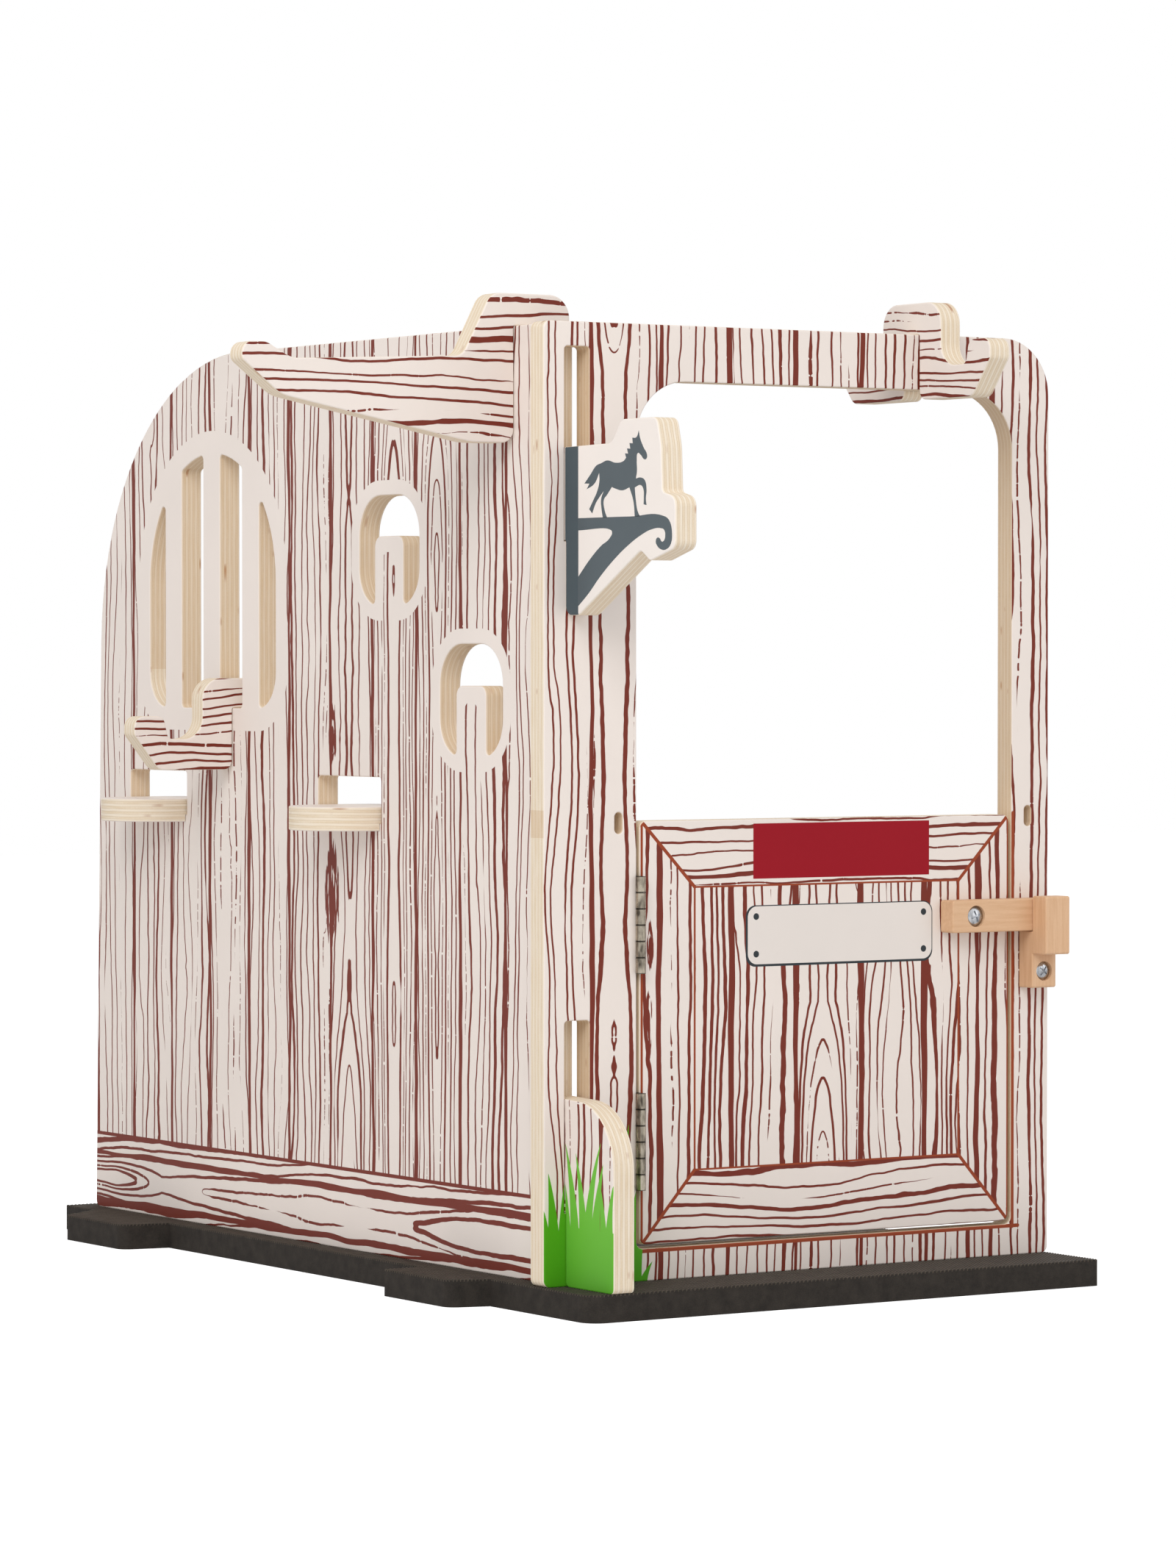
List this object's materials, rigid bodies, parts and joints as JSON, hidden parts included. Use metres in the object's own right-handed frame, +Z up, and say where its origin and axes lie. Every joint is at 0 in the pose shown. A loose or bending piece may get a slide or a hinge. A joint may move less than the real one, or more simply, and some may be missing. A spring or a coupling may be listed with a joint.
{
  "type": "toy stable",
  "caption": "Flat-pack wooden toy stable in printed birch plywood: a half door on butt hinges, a hook-in side wall with arched window, tack hooks, saddle rack and shelves on a foam mat",
  "frame": {"origin": "middle of the mat's underside, the mat's jigsaw tabs left out of the count", "axes": "+Z up, -Y out of the doorway to the front, so +X is to the right of somebody who looks at the door"},
  "size_m": [0.4681, 0.6201, 0.5207],
  "materials": {
    "printed_birch": "birch plywood, its faces printed cream with brown board lines, its edges bare",
    "beech": "sanded beech, satin",
    "hinge_steel": "nickel-plated, dulled",
    "screw_steel": "zinc-plated, bright",
    "mat": "foam, finely ribbed on top"
  },
  "bodies": {
    "base": {"mat": "mat", "front_wall": "printed_birch", "lower_hinge_wall_leaf": "hinge_steel", "upper_hinge_wall_leaf": "hinge_steel", "lower_hinge_pin": "hinge_steel", "upper_hinge_pin": "hinge_steel", "wall_leaf_screws": "screw_steel", "latch_keeper": "beech", "keeper_screw": "screw_steel"},
    "door": {"door": "printed_birch", "lower_hinge_door_leaf": "hinge_steel", "upper_hinge_door_leaf": "hinge_steel", "door_leaf_screws": "screw_steel", "latch_screw": "screw_steel"},
    "latch": {"latch_arm": "beech"},
    "side": {"side_wall": "printed_birch"},
    "rack": {"saddle_rack": "printed_birch"},
    "rail_hook": {"rail_hook": "printed_birch"},
    "window_hook": {"window_hook": "printed_birch"},
    "front_shelf": {"front_shelf": "printed_birch"},
    "rear_shelf": {"rear_shelf": "printed_birch"}
  },
  "joints": [
    {"name": "door_swing", "type": "hinge", "parent": "base", "child": "door", "pos_m": [-0.1032, -0.2407, 0.1415], "axis": [0, 0, -1], "range_deg": [0, 120]},
    {"name": "latch_turn", "type": "hinge", "parent": "door", "child": "latch", "pos_m": [0.1039, -0.2444, 0.1967], "axis": [0, -1, 0], "range_deg": [0, 300]},
    {"name": "side_wall_lift", "type": "slide", "parent": "base", "child": "side", "axis": [0, 0, 1], "range_m": [0, 0.038]},
    {"name": "saddle_rack_lift", "type": "slide", "parent": "side", "child": "rack", "axis": [0, 0, 1], "range_m": [0, 0.08]},
    {"name": "rail_hook_lift", "type": "slide", "parent": "base", "child": "rail_hook", "axis": [0, 0, 1], "range_m": [0, 0.06]},
    {"name": "window_hook_lift", "type": "slide", "parent": "side", "child": "window_hook", "axis": [0, 0, 1], "range_m": [0, 0.05]},
    {"name": "front_shelf_lift", "type": "slide", "parent": "side", "child": "front_shelf", "axis": [0, 0, 1], "range_m": [0, 0.015]},
    {"name": "rear_shelf_lift", "type": "slide", "parent": "side", "child": "rear_shelf", "axis": [0, 0, 1], "range_m": [0, 0.015]}
  ]
}
